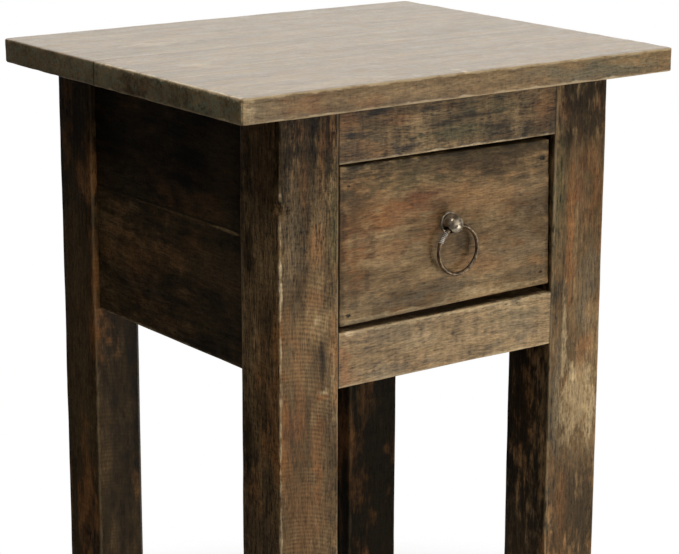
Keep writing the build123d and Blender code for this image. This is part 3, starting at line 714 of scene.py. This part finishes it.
CHIP_WIDTH = 6 * MM
CHIP_STEP = 1.5 * MM
CHIP_FADE = 4 * MM


def chip(points, low):
    """Knocks a splinter out of the near arris, deepest at its lower end."""
    share = smooth_step(CHIP_BOTTOM, CHIP_BOTTOM + CHIP_STEP, points[:, Z])
    share *= 1 - smooth_step(CHIP_BOTTOM + CHIP_FADE, CHIP_TOP, points[:, Z])
    near = np.linalg.norm(points[:, :2] - np.array(low[:2]), axis=1)
    share *= 1 - smooth_step(0, CHIP_WIDTH, near)
    points[:, :2] += (CHIP_DEPTH * share)[:, None]
    return points


def sawn_surface(points, normals, low):
    """Raises saw marks on the front and back, by the same formula as the finish."""
    side_way = (points[:, X] - low.x) + (points[:, Y] - low.y)
    cut = points[:, Z] + SAW_CURVE * side_way ** 2 + SAW_DRIFT * np.sin(SAW_SWING * points[:, Z])
    ripple = np.sin(2 * math.pi * cut / SAW_PITCH)
    ripple *= 1 - smooth_step(SAW_TOP - SAW_FADE, SAW_TOP, points[:, Z])
    ripple *= 1 - smooth_step(SAW_FULL_WIDTH, SAW_WIDTH, side_way)
    ripple *= np.abs(normals[:, Y]) > 0.7
    return points + normals * (SAW_DEPTH * ripple)[:, None]


# %% Model the legs
for node, look in LEGS.items():
    low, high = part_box(node)
    chamfer = ((high.x, low.y), REAR_CHAMFER) if node == "leg_rear_left" else None
    leg = board(node, low, high, Z, LEG_ARRIS, LEG_CELLS, look["seed"], chamfer=chamfer)
    points = points_of(leg)
    if look.get("saw"):
        points = sawn_surface(points, normals_of(leg), low)
    if node == "leg_front_left":
        points = chip(points, low)
    move_points(leg, points)
    wood = stained_wood(node + "_stain", low, high, Z, **look)
    finish_board(leg, node, "carcass", wood)

# %% [markdown]
# ## Rails and aprons
#
# A node's box includes its tenons, so a board's own length is read from the legs that it meets.
# The tenons themselves are hidden in the mortises of the legs.

# %% Marks on the rails
opening_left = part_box("leg_front_left")[1].x
opening_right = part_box("leg_front_right")[0].x
apron_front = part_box("leg_front_left")[1].y
apron_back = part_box("leg_rear_left")[0].y
ENDS_X = ((X, 0), (X, 1))
ENDS_Y = ((Y, 0), (Y, 1))
# Painted shade: the top of the bottom rail, which shows through the slit under the drawer, is painted black
# where it lies in shade.
RAIL_PAINTED_SHADE_Y = (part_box("rail_front_bottom")[0].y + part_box("rail_front_bottom")[1].y) / 2 + 2 * MM
RAIL_PAINTED_SHADE_Z = 524 * MM
rail_top_marks = on_front("rail_front_top", [
    ("olive", 0, 670, 110, 24, 0.3), ("orange", -98, 681, 11, 7, 0.5),
    ("black", -72, 685, 12, 3.5, 0.85), ("black", -88, 669, 11, 3.5, 0.65),
    ("orange", -50, 678, 18, 6, 0.45), ("tan", -33, 668, 13, 12, 0.6), ("black", -30, 663, 2, 2, 0.8),
    ("black", -39, 661, 3, 2, 0.7), ("black", -22, 683, 8, 3, 0.7), ("tan", -10, 679, 14, 6, 0.45),
    ("black", -8, 670, 12, 2.5, 0.7), ("black", 22, 673, 26, 2.6, 0.75), ("olive", 5, 662, 32, 6, 0.6),
    ("black", 45, 663, 16, 5, 0.65), ("olive", 40, 680, 26, 6, 0.5), ("black", 62, 654, 20, 4, 0.6),
    ("black", 76, 664, 5, 5, 0.7), ("tan", 62, 664, 5, 12, 0.5), ("orange", 90, 672, 12, 14, 0.4),
    ("black", -40, 656, 14, 3, 0.5), ("bare", 10, 649.8, 50, 1.4, 0.6)])
rail_bottom_marks = on_front("rail_front_bottom", [
    ("orange", -99, 497, 7, 24, 0.65), ("orange", -90, 488, 8, 6, 0.3), ("grey", -60, 489, 34, 7, 0.5),
    ("grey", 72, 503, 14, 12, 0.5), ("grey", 20, 488, 40, 6, 0.3), ("black", 3.5, 506, 2.6, 2.6, 0.8),
    ("dark", 4, 506, 5, 5, 0.35), ("tan", 95, 503, 8, 18, 0.5), ("pale", 0, 522.5, 105, 1.8, 0.6),
    ("bare", -95, 523, 5, 2, 0.95), ("olive", 62, 514, 30, 6, 0.3), ("pale", -30, 508, 25, 8, 0.25)])
# Painted shade on the top of the bottom rail, under the drawer.
rail_bottom_marks.append(("black", (0, RAIL_PAINTED_SHADE_Y, RAIL_PAINTED_SHADE_Z), (160 * MM, 12.5 * MM, 4 * MM), 0.95))
RAILS = {
    "rail_front_top": {"seed": 11, "shade": 0.44, "orange": 0.25, "grey": 0.05, "blotch": 1.2,
                       "contrast": 1.4, "curly": 0.7, "hatched": 0.3, "flecked": 0.4,
                       "spots": rail_top_marks},
    "rail_front_bottom": {"seed": 12, "shade": 0.73, "orange": 0.15, "grey": 0.35, "mottled": 0.3,
                          "blotch": 0.7, "contrast": 1.15, "curly": 0.6, "hatched": 0.2,
                          "flecked": 0.1, "spots": rail_bottom_marks},
}

# %% Model the rails
for node, look in RAILS.items():
    low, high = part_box(node)
    low.x, high.x = opening_left, opening_right
    rail = board(node, low, high, X, arris=1.0, cells=(2.5, 5, 2.5), seed=look["seed"], joined=ENDS_X)
    wood = stained_wood(node + "_stain", low, high, X, joined=ENDS_X, **look)
    finish_board(rail, node, "carcass", wood)

# %% Model the aprons
APRON_MARKS = {
    "apron_left_lower": on_left("apron_left_lower", [
        ("brown", -10, 593.6, 70, 1.0, 0.5), ("tan", -72, 593.6, 18, 1.4, 0.6),
        ("brown", -60, 560, 40, 20, 0.3)]),
    "apron_left_upper": on_left("apron_left_upper", [("brown", -70, 640, 24, 40, 0.35)]),
}
apron_seed = 20
for side in ("left", "right", "rear"):
    for course in ("upper", "lower"):
        node = f"apron_{side}_{course}"
        apron_seed += 1
        low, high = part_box(node)
        if side == "rear":
            grain = X
            low.x, high.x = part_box("leg_rear_left")[1].x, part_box("leg_rear_right")[0].x
        else:
            grain = Y
            low.y, high.y = apron_front, apron_back
        cells = (3, 5, 3) if side == "rear" else (5, 3, 3)
        ends = (ENDS_X if side == "rear" else ENDS_Y) + ((Z, 0 if course == "upper" else 1),)
        apron = board(node, low, high, grain, arris=1.2, cells=cells, seed=apron_seed, joined=ends)
        shade = {"upper": 0.15, "lower": 0.2}[course]
        marks = APRON_MARKS.get(node, ())
        wood = stained_wood(node + "_stain", low, high, grain, apron_seed, shade=shade, orange=0.25,
                            grey=0.1, joined=ends, spots=marks)
        finish_board(apron, node, "carcass", wood)

# %% [markdown]
# ## The drawer front
#
# The front is one board, planed smoother than the legs, with nails sunk through it into the
# drawer's sides. It was fitted by hand and isn't quite square.

# %% Nail holes
NAIL_PLACES = ((-94.6, 535.9), (-95.0, 632.9), (90.9, 541.6), (90.5, 632.0))
HOLE_WIDE = 3.2 * MM
HOLE_TALL = 1.5 * MM
HOLE_DEEP = 1.2 * MM


def nail_holes(front):
    """Cuts a short slot over each sunk nail."""
    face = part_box("drawer_front")[0].y
    for x, z in NAIL_PLACES:
        bpy.ops.object.select_all(action="DESELECT")
        bpy.ops.mesh.primitive_cylinder_add(
            vertices=16, radius=0.5, depth=1, location=(x * MM, face, z * MM),
            rotation=(math.pi / 2, 0, 0), scale=(HOLE_WIDE, HOLE_TALL, HOLE_DEEP * 2))
        cutter = bpy.context.object
        cut = front.modifiers.new("nail", "BOOLEAN")
        cut.object = cutter
        cut.operation = "DIFFERENCE"
        alone(front)
        bpy.ops.object.modifier_apply(modifier=cut.name)
        bpy.data.objects.remove(cutter)
    print("nail holes:", len(NAIL_PLACES))


# %% Marks on the drawer front
# Some of these marks are painted light. The dark band along the top and the dark patches at its upper left
# and upper right are painted shade, and so are the black strips along the top, both ends and the bottom,
# where the gaps round the drawer are in shade. The tan patch at the lower right is a painted pool of light.
# The dark patch below and right of the ball is partly a mark on the wood and partly the ball's painted
# shadow.
drawer_marks = on_front("drawer_front", [
    ("dark", -76, 632, 26, 9, 0.4), ("orange", -58, 600, 34, 12, 0.3), ("dark", -2, 543, 90, 3, 0.4),
    ("dark", -89, 590, 4, 60, 0.45), ("olive", 0, 645, 110, 6, 0.5), ("red", -80, 590, 20, 10, 0.35),
    ("orange", -70, 608, 32, 11, 0.7), ("orange", -100, 593, 8, 20, 0.55),
    ("red", -30, 614, 17, 9, 0.7), ("grey", -45, 604, 12, 6, 0.4), ("orange", 8, 610, 40, 9, 0.3),
    ("orange", -62, 580, 24, 9, 0.4), ("orange", -90, 575, 14, 20, 0.45),
    ("dark", -73, 588, 5, 14, 0.45), ("dark", -78, 562, 2.5, 8, 0.45), ("dark", -38, 572, 10, 5, 0.3),
    ("grey", 76, 612, 26, 24, 0.3), ("dark", 0, 640, 110, 15, 0.7), ("dark", -88, 622, 24, 26, 0.5),
    ("tan", 55, 565, 42, 30, 0.3), ("dark", 62, 630, 46, 16, 0.35), ("orange", -48, 606, 26, 10, 0.45),
    ("orange", -20, 590, 10, 14, 0.3), ("tan", 32, 590, 30, 24, 0.25), ("dark", 60, 617, 12, 4, 0.3),
    ("grey", 70, 560, 36, 20, 0.3), ("grey", 0, 545, 34, 8, 0.5), ("grey", -65, 541, 24, 6, 0.4),
    ("pale", -60, 531, 45, 2, 0.4), ("dark", 12.5, 575, 9, 10, 0.75), ("orange", 25, 557, 30, 7, 0.25),
    ("dark", -12, 606, 9, 6, 0.45), ("olive", -50, 630, 45, 8, 0.3), ("pale", 60, 534, 40, 4, 0.3),
    ("black", 0, 649, 130, 4, 0.85), ("black", -103, 588, 5, 62, 0.6), ("black", 99.5, 588, 5, 62, 0.6),
    ("black", -60, 528, 60, 3, 0.5)]
    + [("black", x, z, 2.4, 1.6, 0.9) for x, z in NAIL_PLACES])

# %% Model the drawer front
# How far each corner is out of square, up, down or in from the right.
BOTTOM_LEFT_DOWN = 1.6 * MM
BOTTOM_RIGHT_UP = 1.4 * MM
BOTTOM_RIGHT_IN = 0.3 * MM
TOP_LEFT_UP = 1.3 * MM
TOP_RIGHT_DOWN = 0.7 * MM
TOP_RIGHT_IN = 3.3 * MM

low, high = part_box("drawer_front")
front = board("drawer_front", low, high, X, arris=1.0, cells=(2.5, 6, 2.5), seed=31)
points = points_of(front)
share_x = (points[:, X] - low.x) / (high.x - low.x)
share_z = (points[:, Z] - low.z) / (high.z - low.z)
bottom_up = BOTTOM_RIGHT_UP * share_x - BOTTOM_LEFT_DOWN * (1 - share_x)
top_up = TOP_LEFT_UP * (1 - share_x) - TOP_RIGHT_DOWN * share_x
points[:, Z] += bottom_up * (1 - share_z) + top_up * share_z
points[:, X] -= share_x * (BOTTOM_RIGHT_IN * (1 - share_z) + TOP_RIGHT_IN * share_z)
move_points(front, points)
nail_holes(front)
wood = stained_wood("drawer_front_stain", low, high, X, 31, shade=0.56, orange=0.35, grey=0.15,
                    wear=0.12, blotch=1.5, mottled=0.35, contrast=0.9, hatched=0.25, flecked=0.05,
                    shine=0.09, spots=drawer_marks)
finish_board(front, "drawer_front", "drawer", wood)

# %% [markdown]
# ## The top
#
# Two boards are glued edge to edge, with the joint planed flush, so the inner arrises stay sharp
# and unworn. The outer corners are rounded in plan. A bevel would do that on a plain box, but the
# slab is already cut up and wavy, so its points near each corner are pulled in instead.

# %% Marks on the top
# Where the left top arris is rubbed bare, as (y, reach in y) in millimetres.
RUBBED_ARRIS = ((-150, 24), (-96, 34), (-30, 36), (12, 12))
top_front_marks = on_front("top_board_front", [
    ("orange", -150, 702, 22, 7, 0.4), ("orange", -95, 699, 16, 7, 0.35),
    ("grey", -190, 702, 10, 10, 0.4), ("grey", 120, 701, 80, 10, 0.5), ("haze", 140, 701, 60, 10, 0.3),
    ("tan", -20, 704, 60, 5, 0.3), ("bare", -5, 711, 3, 1.5, 0.8)])
top_front_marks += on_left("top_board_front", [
    ("olive", -150, 702, 18, 8, 0.5), ("olive", -90, 700, 26, 6, 0.45), ("black", -62, 708, 9, 3, 0.7),
    ("olive", -10, 702, 24, 7, 0.5), ("black", -120, 696, 20, 4, 0.5), ("black", -30, 697, 18, 4, 0.5),
    ("black", 28.4, 702, 1.2, 12, 0.8), ("pale", -171, 702, 2.4, 11, 0.7)])
for y, reach in RUBBED_ARRIS:
    arris_place = (top_front_low.x, y * MM, top_front_high.z)
    top_front_marks.append(("bare", arris_place, (3.0 * MM, reach * MM, 2.4 * MM), 0.9))
top_front_marks += on_top("top_board_front", [
    ("black", -136, -103, 5, 2, 0.9), ("red", -164, -38, 7, 3, 0.6), ("red", 125, -116, 5, 3, 0.6),
    ("orange", 160, -105, 26, 10, 0.4), ("pale", -150, -35, 12, 10, 0.4),
    ("orange", -110, -98, 22, 9, 0.3), ("pale", -120, -155, 60, 10, 0.3), ("dark", 0, -62, 90, 8, 0.25),
    ("olive", -110, -40, 20, 12, 0.4)])
top_rear_marks = on_top("top_board_rear", [
    ("dark", -148, 82, 8, 6, 0.45), ("pale", -120, 76, 32, 9, 0.4), ("dark", 85, 55, 12, 6, 0.35),
    ("dark", 132, 53, 10, 6, 0.4), ("dark", -40, 107, 14, 7, 0.35), ("olive", -150, 45, 60, 10, 0.35)])
TOPS = {
    "top_board_front": {"seed": 41, "joined": ((Y, 1),), "wear": 0.6, "spots": top_front_marks},
    "top_board_rear": {"seed": 42, "joined": ((Y, 0),), "wear": 0.2, "spots": top_rear_marks},
}

# %% Model the top
CORNER_ROUND = 4 * MM


def round_corners(points, low, high, outer_y):
    """Rounds a slab's two outer corners in plan, by pulling in what lies past the curve."""
    for corner_x in (low.x, high.x):
        outwards = np.sign([corner_x, outer_y])
        centre = np.array([corner_x, outer_y]) - CORNER_ROUND * outwards
        away = (points[:, :2] - centre) * outwards
        inside = (away > 0).all(axis=1)
        length = np.linalg.norm(away, axis=1)
        scale = np.where(inside, away.max(axis=1) / np.maximum(length, 1e-9), 1)
        pulled = centre + away * scale[:, None] * outwards
        points[:, :2] = np.where(inside[:, None], pulled, points[:, :2])
    return points


for node, look in TOPS.items():
    low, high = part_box(node)
    slab = board(node, low, high, X, arris=1.4, cells=(3, 3, 4), seed=look["seed"], joined=look["joined"])
    outer_y = low.y if node == "top_board_front" else high.y
    move_points(slab, round_corners(points_of(slab), low, high, outer_y))
    # The tops are given a lighter, greyer tone than the legs, partly for dust and partly as a painted
    # sheen.
    wood = stained_wood(node + "_stain", low, high, X, shade=0.62, orange=0.2, grey=0.3, roughness=0.4,
                        blotch=0.55, contrast=0.85, wax=0.42, seam=0.25, end_haze=0.9, **look)
    finish_board(slab, node, "carcass", wood)

# %% [markdown]
# ## Iron, steel and raw wood
#
# The pull is cast iron that handling has burnished, with painted shade in the ball's cross hole and
# round its mouth. The parts inside the table hardly show, so they keep their shapes from the design
# and get one simple finish each: bare wood with its grain along the longest side, or plain steel.

# %% Hardware and hidden parts
BORE_SHADE_REACH = 3.9 * MM


def aged_iron(name, deep, pale, metal, rough, bore=None):
    """Iron, and if a bore is given as a point and a direction, painted shade inside it and round its mouth.
    """
    finish = Finish(bpy.data.materials.new(name))
    place = finish.place()
    cloud = finish.noise(place, 0.004, 4.0, 0.6)
    fine = finish.noise(place, 0.0009, 3.0, 0.6)
    colour = finish.mix((cloud + fine * 0.3).rise(-0.15, 0.2), deep, pale)
    normal = finish.bump(cloud + fine * 0.4, 0.25, 0.0003)
    if bore:
        start, way = bore
        arm = finish.vectors("CROSS_PRODUCT", finish.vectors("SUBTRACT", place, start), way)
        # Painted shade: the bore and a ring round its mouth are painted black, where the hole lies in
        # shade.
        bore_shade = (finish.vectors("LENGTH", arm) + cloud * 0.002).rise(BORE_SHADE_REACH, BORE_SHADE_REACH - 0.6 * MM)
        colour = finish.mix(bore_shade, colour, STAINS_AND_PAINTED_LIGHT["black"])
        metal = (1 - bore_shade) * metal
    return finish.surface({"Base Color": colour, "Metallic": metal, "Roughness": cloud * 0.3 + rough,
                           "Normal": normal})


def plain_steel():
    finish = Finish(bpy.data.materials.new("plain_steel"))
    cloud = finish.noise(finish.place(), 0.003, 3.0)
    colour = finish.mix(cloud.rise(-0.3, 0.3), tint(150, 148, 142), tint(182, 180, 174))
    return finish.surface({"Base Color": colour, "Metallic": 1.0, "Roughness": cloud * 0.2 + 0.42})


def raw_wood(name, grain, pale, deep):
    finish = Finish(bpy.data.materials.new(name))
    long_way = along(finish, finish.place(), grain, 0.06)
    fibres = finish.noise(long_way, 0.0016, 4.0, 0.6)
    bands = finish.noise(long_way, 0.014, 3.0, 0.5)
    colour = finish.mix((fibres * 0.5 + bands * 0.6).rise(-0.15, 0.2), pale, deep)
    return finish.surface({"Base Color": colour, "Roughness": fibres * 0.2 + 0.62,
                           "Normal": finish.bump(fibres, 0.3, 0.0003)})


IRON_TINTS = (tint(116, 103, 84), tint(182, 168, 148))
IRON = aged_iron("aged_iron", *IRON_TINTS, metal=0.7, rough=0.36)
swing = next(j for j in frame["record"]["behaviour"]["joints"] if j["name"] == "ring_swing")
# The knob's cross hole gets painted shade.
KNOB = aged_iron("sooty_iron", *IRON_TINTS, metal=0.7, rough=0.33,
                 bore=(tuple(swing["pos_m"]), tuple(swing["axis"])))
RUST = aged_iron("rusted_nails", tint(30, 24, 18), tint(58, 46, 34), metal=0.2, rough=0.7)
STEEL = plain_steel()
RAW = [raw_wood("raw_wood_" + "xyz"[axis], axis, tint(176, 140, 100), tint(132, 98, 66))
       for axis in range(3)]
for node, thing in frame["nodes"].items():
    if thing.hide_render:
        continue
    slot = next(s["material_slot"] for s in frame["record"]["subparts"] if s["node"] == node)
    low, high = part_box(node)
    longest = max(range(3), key=lambda axis: (high - low)[axis])
    thing.data.materials.clear()
    if node in ("drawer_front_nails", "pull_knob"):
        thing.data.materials.append(RUST if node == "drawer_front_nails" else KNOB)
    else:
        thing.data.materials.append({"aged_iron": IRON, "plain_steel": STEEL}.get(slot, RAW[longest]))

# %% [markdown]
# ## The ring
#
# The ring is a bent and forged wire, so its surface is a little uneven. Fine wire is wound round
# it beside the ball, where it would wear. A coil could be one long helix, but close turns look the
# same as separate loops, and a loop is simpler to make: it is one small torus, set at even steps
# round the ring and tilted a little, as the turns of a coil are.

# %% The ring
WHIPPING_TURNS = 7
WHIPPING_ARC = 7.8 * MM
TURN_WIRE = 0.45 * MM
TURN_TILT = math.radians(12)
FORGED_EXTRA = 0.2 * MM
ring_low, ring_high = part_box("pull_ring")
ring_middle = (ring_low + ring_high) / 2
wire_radius = (ring_high.y - ring_low.y) / 2
ring_radius = (ring_high.x - ring_low.x) / 2 - wire_radius
bpy.ops.object.select_all(action="DESELECT")
bpy.ops.mesh.primitive_torus_add(
    location=ring_middle, rotation=(math.pi / 2, 0, 0), major_radius=ring_radius,
    minor_radius=wire_radius + FORGED_EXTRA, major_segments=128, minor_segments=20)
ring = bpy.context.object
ring.name = "pull_ring_forged"
bpy.ops.object.transform_apply(location=True, rotation=True, scale=True)
rough_up(ring, 0.006, 0.25 * MM, (1, 1, 1), 0.3)
bpy.ops.object.shade_smooth()
ring_finish = aged_iron("ring_iron", tint(60, 46, 31), tint(124, 102, 74), metal=0.6, rough=0.4)
ring.data.materials.append(ring_finish)
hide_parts("pull_ring")
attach(ring, "ring")
print("ring radius:", round(ring_radius / MM, 2), "wire:", round(2 * wire_radius / MM, 2))

# %% The whipping
coil_low, coil_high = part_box("pull_ring_whipping")
coil_way = (coil_low + coil_high) / 2 - ring_middle
coil_angle = math.atan2(coil_way.z, coil_way.x)
turns = []
for index in range(WHIPPING_TURNS):
    angle = coil_angle + WHIPPING_ARC / ring_radius * (index / (WHIPPING_TURNS - 1) - 0.5)
    middle = ring_middle + Vector((math.cos(angle), 0, math.sin(angle))) * ring_radius
    bpy.ops.object.select_all(action="DESELECT")
    bpy.ops.mesh.primitive_torus_add(
        location=middle, rotation=(TURN_TILT, -angle, 0), minor_radius=TURN_WIRE,
        major_radius=wire_radius + TURN_WIRE * 0.8, major_segments=24, minor_segments=8)
    turns.append(bpy.context.object)
alone(turns[0])
for turn_piece in turns:
    turn_piece.select_set(True)
bpy.ops.object.join()
whipping = bpy.context.object
whipping.name = "pull_ring_coil"
bpy.ops.object.transform_apply(location=True, rotation=True, scale=True)
bpy.ops.object.shade_smooth()
wire_finish = aged_iron("whipping_wire", tint(150, 142, 130), tint(222, 216, 206), metal=0.5, rough=0.4)
whipping.data.materials.append(wire_finish)
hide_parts("pull_ring_whipping")
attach(whipping, "ring")
print("turns in the whipping:", WHIPPING_TURNS)

# %% [markdown]
# ## The studio
#
# The floor is a pale disc that fades out into a white surround. A large soft panel lights the
# front, a small one high up on the left rakes across the top, and a small low one fills in the
# drawer from the right. The surround glows from behind and the right, warm as a lamp, so the left
# side stays in shade. The camera sees the surround as plain white.

# %% The floor
FLOOR_FULL = 0.45
FLOOR_END = 0.78
bpy.ops.object.select_all(action="DESELECT")
bpy.ops.mesh.primitive_circle_add(vertices=96, radius=FLOOR_END, fill_type="NGON", location=(0, 0, 0))
floor = bpy.context.object
floor.name = "floor"
paint = Finish(bpy.data.materials.new("floor_paint"))
spot = paint.vectors("LENGTH", paint.place())
matt = paint.node("BsdfDiffuse", {}, {"Color": (0.85, 0.85, 0.85, 1)})["BSDF"]
clear = paint.node("BsdfTransparent")["BSDF"]
both = paint.node("MixShader", {}, {"Fac": spot.rise(FLOOR_FULL, FLOOR_END), 1: matt, 2: clear})["Shader"]
paint.node("OutputMaterial", {}, {"Surface": both})
floor.data.materials.append(paint.holder)


# %% The lights
def panel(name, place, aim, size, power):
    lamp = bpy.data.lights.new(name, "AREA")
    lamp.shape = "SQUARE"
    lamp.size = size
    lamp.energy = power
    holder = bpy.data.objects.new(name, lamp)
    bpy.context.scene.collection.objects.link(holder)
    way = Vector(place) - Vector(aim)
    holder.matrix_world = Matrix.Translation(place) @ way.to_track_quat("Z", "Y").to_matrix().to_4x4()


panel("key", (0.1, -2.6, 1.5), (0, 0, 0.5), 3.0, 45)
panel("overhead", (-1.05, -0.8, 2.2), (0, -0.15, 0.6), 0.35, 13)
panel("low", (0.5, -0.9, 0.2), (0.1, -0.15, 0.45), 0.45, 5.4)

# %% The surround
world = bpy.data.worlds.new("surround")
bpy.context.scene.world = world
sky = Finish(world)
way_x, way_y, way_z = sky.axes(sky.node("TexCoord")["Generated"])
GLOW_FROM = (0.72, 0.62, 0.3)
GLOW_POWER = 1.75
glow = way_x * GLOW_FROM[X] + way_y * GLOW_FROM[Y] + way_z * GLOW_FROM[Z]
glow = glow.rise(0.3, 1.0) * GLOW_POWER + 0.012
seen = sky.node("LightPath")["Is Camera Ray"]
hue = sky.mix(seen, (1, 0.95, 0.87, 1), (1, 1, 1, 1))
shine = sky.node("Background", {}, {"Color": hue, "Strength": glow * (1 - seen) + seen})["Background"]
sky.node("OutputWorld", {}, {"Surface": shine})
bpy.context.scene.view_settings.view_transform = "Standard"
